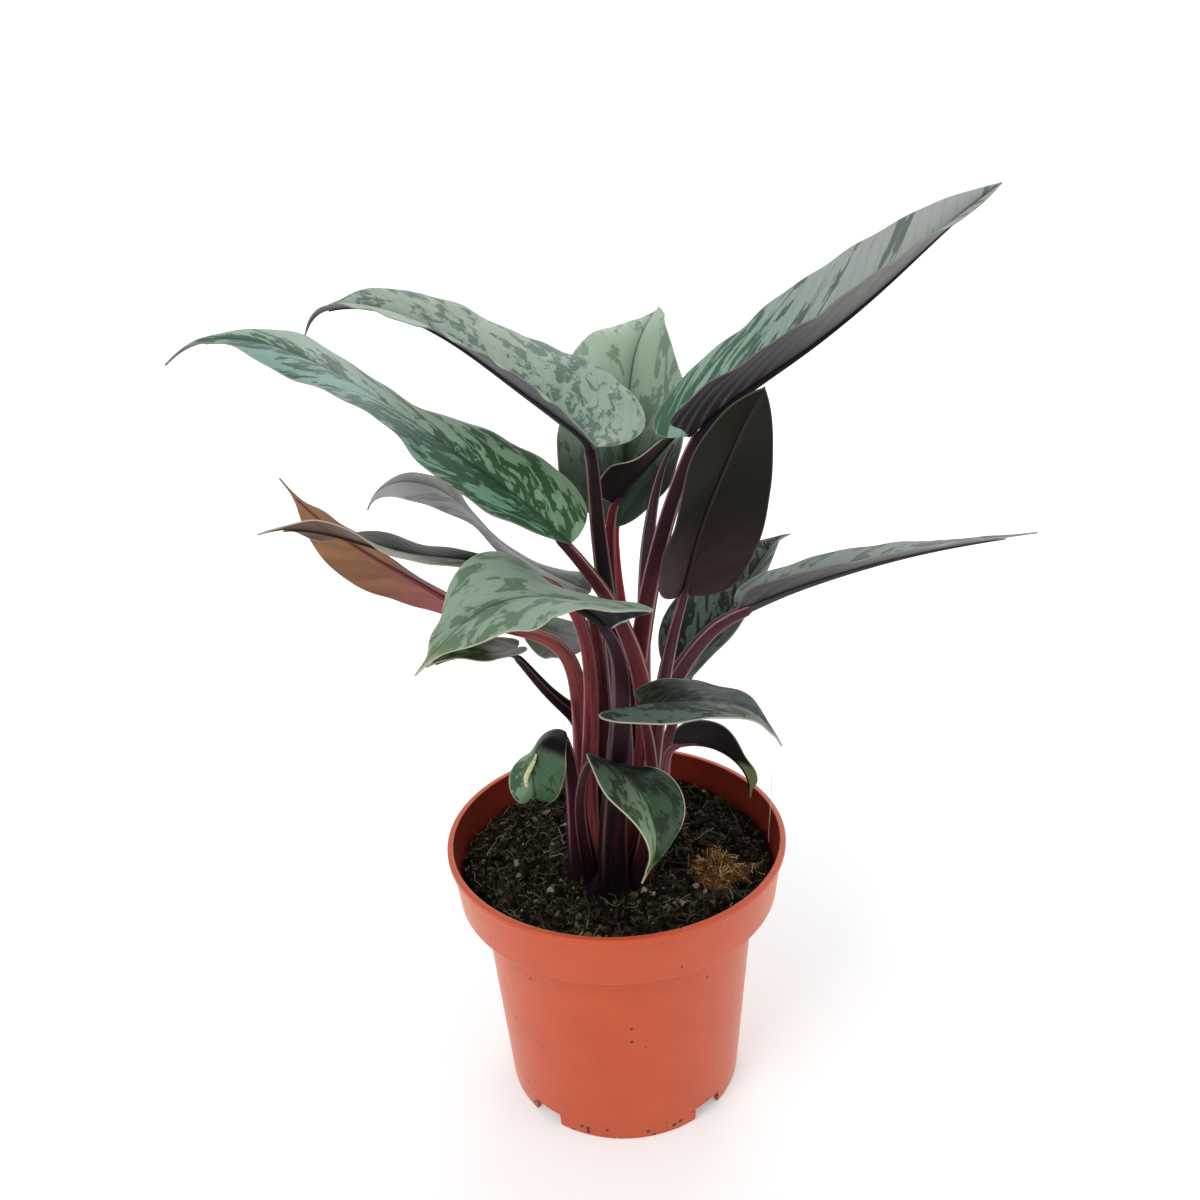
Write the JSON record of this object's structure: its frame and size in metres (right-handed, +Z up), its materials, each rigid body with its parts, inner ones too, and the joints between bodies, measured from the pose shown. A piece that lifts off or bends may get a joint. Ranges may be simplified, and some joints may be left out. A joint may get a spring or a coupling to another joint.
{
  "type": "potted house plant",
  "caption": "Potted aroid house plant: silver-green mottled leaves with purple undersides on wine-red stalks, in a terracotta-coloured plastic nursery pot with peat soil.",
  "frame": {"origin": "centre of the pot's underside, on the plane it rests on", "axes": "+Z up along the pot's axis; the plant's usual front looks along -Y and +X is to that viewer's right"},
  "size_m": [0.2828, 0.1576, 0.3149],
  "materials": {
    "pot": "satin, terracotta coloured",
    "soil": "rough dark peat with fibres and moss",
    "fibre": "rough brown coir fibre",
    "blade": "satin leaf, silver-green with dark green blotches above, purple-brown below",
    "stalk": "satin wine-red stalk with pale ridges"
  },
  "bodies": {
    "root": {"pot": "pot", "soil": "soil", "fibre_tuft": "fibre", "blade_high_left_front": "blade", "stalk_high_left_front": "stalk", "blade_high_left_back": "blade", "stalk_high_left_back": "stalk", "blade_high_right": "blade", "stalk_high_right": "stalk", "blade_long_right": "blade", "stalk_long_right": "stalk", "blade_dark_upright": "blade", "stalk_dark_upright": "stalk", "blade_back_right": "blade", "stalk_back_right": "stalk", "blade_back_tall": "blade", "stalk_back_tall": "stalk", "blade_folded_centre": "blade", "stalk_folded_centre": "stalk", "blade_low_right": "blade", "stalk_low_right": "stalk", "blade_drooping_right": "blade", "stalk_drooping_right": "stalk", "blade_small_front": "blade", "stalk_small_front": "stalk", "blade_wide_left_front": "blade", "stalk_wide_left_front": "stalk", "blade_twisted_left": "blade", "stalk_twisted_left": "stalk", "blade_rosy_left": "blade", "stalk_rosy_left": "stalk", "blade_grey_left": "blade", "stalk_grey_left": "stalk", "blade_low_left": "blade", "stalk_low_left": "stalk", "blade_curled_left": "blade", "stalk_curled_left": "stalk", "blade_back_left": "blade", "stalk_back_left": "stalk", "stalk_new_spear": "stalk"}
  },
  "joints": []
}
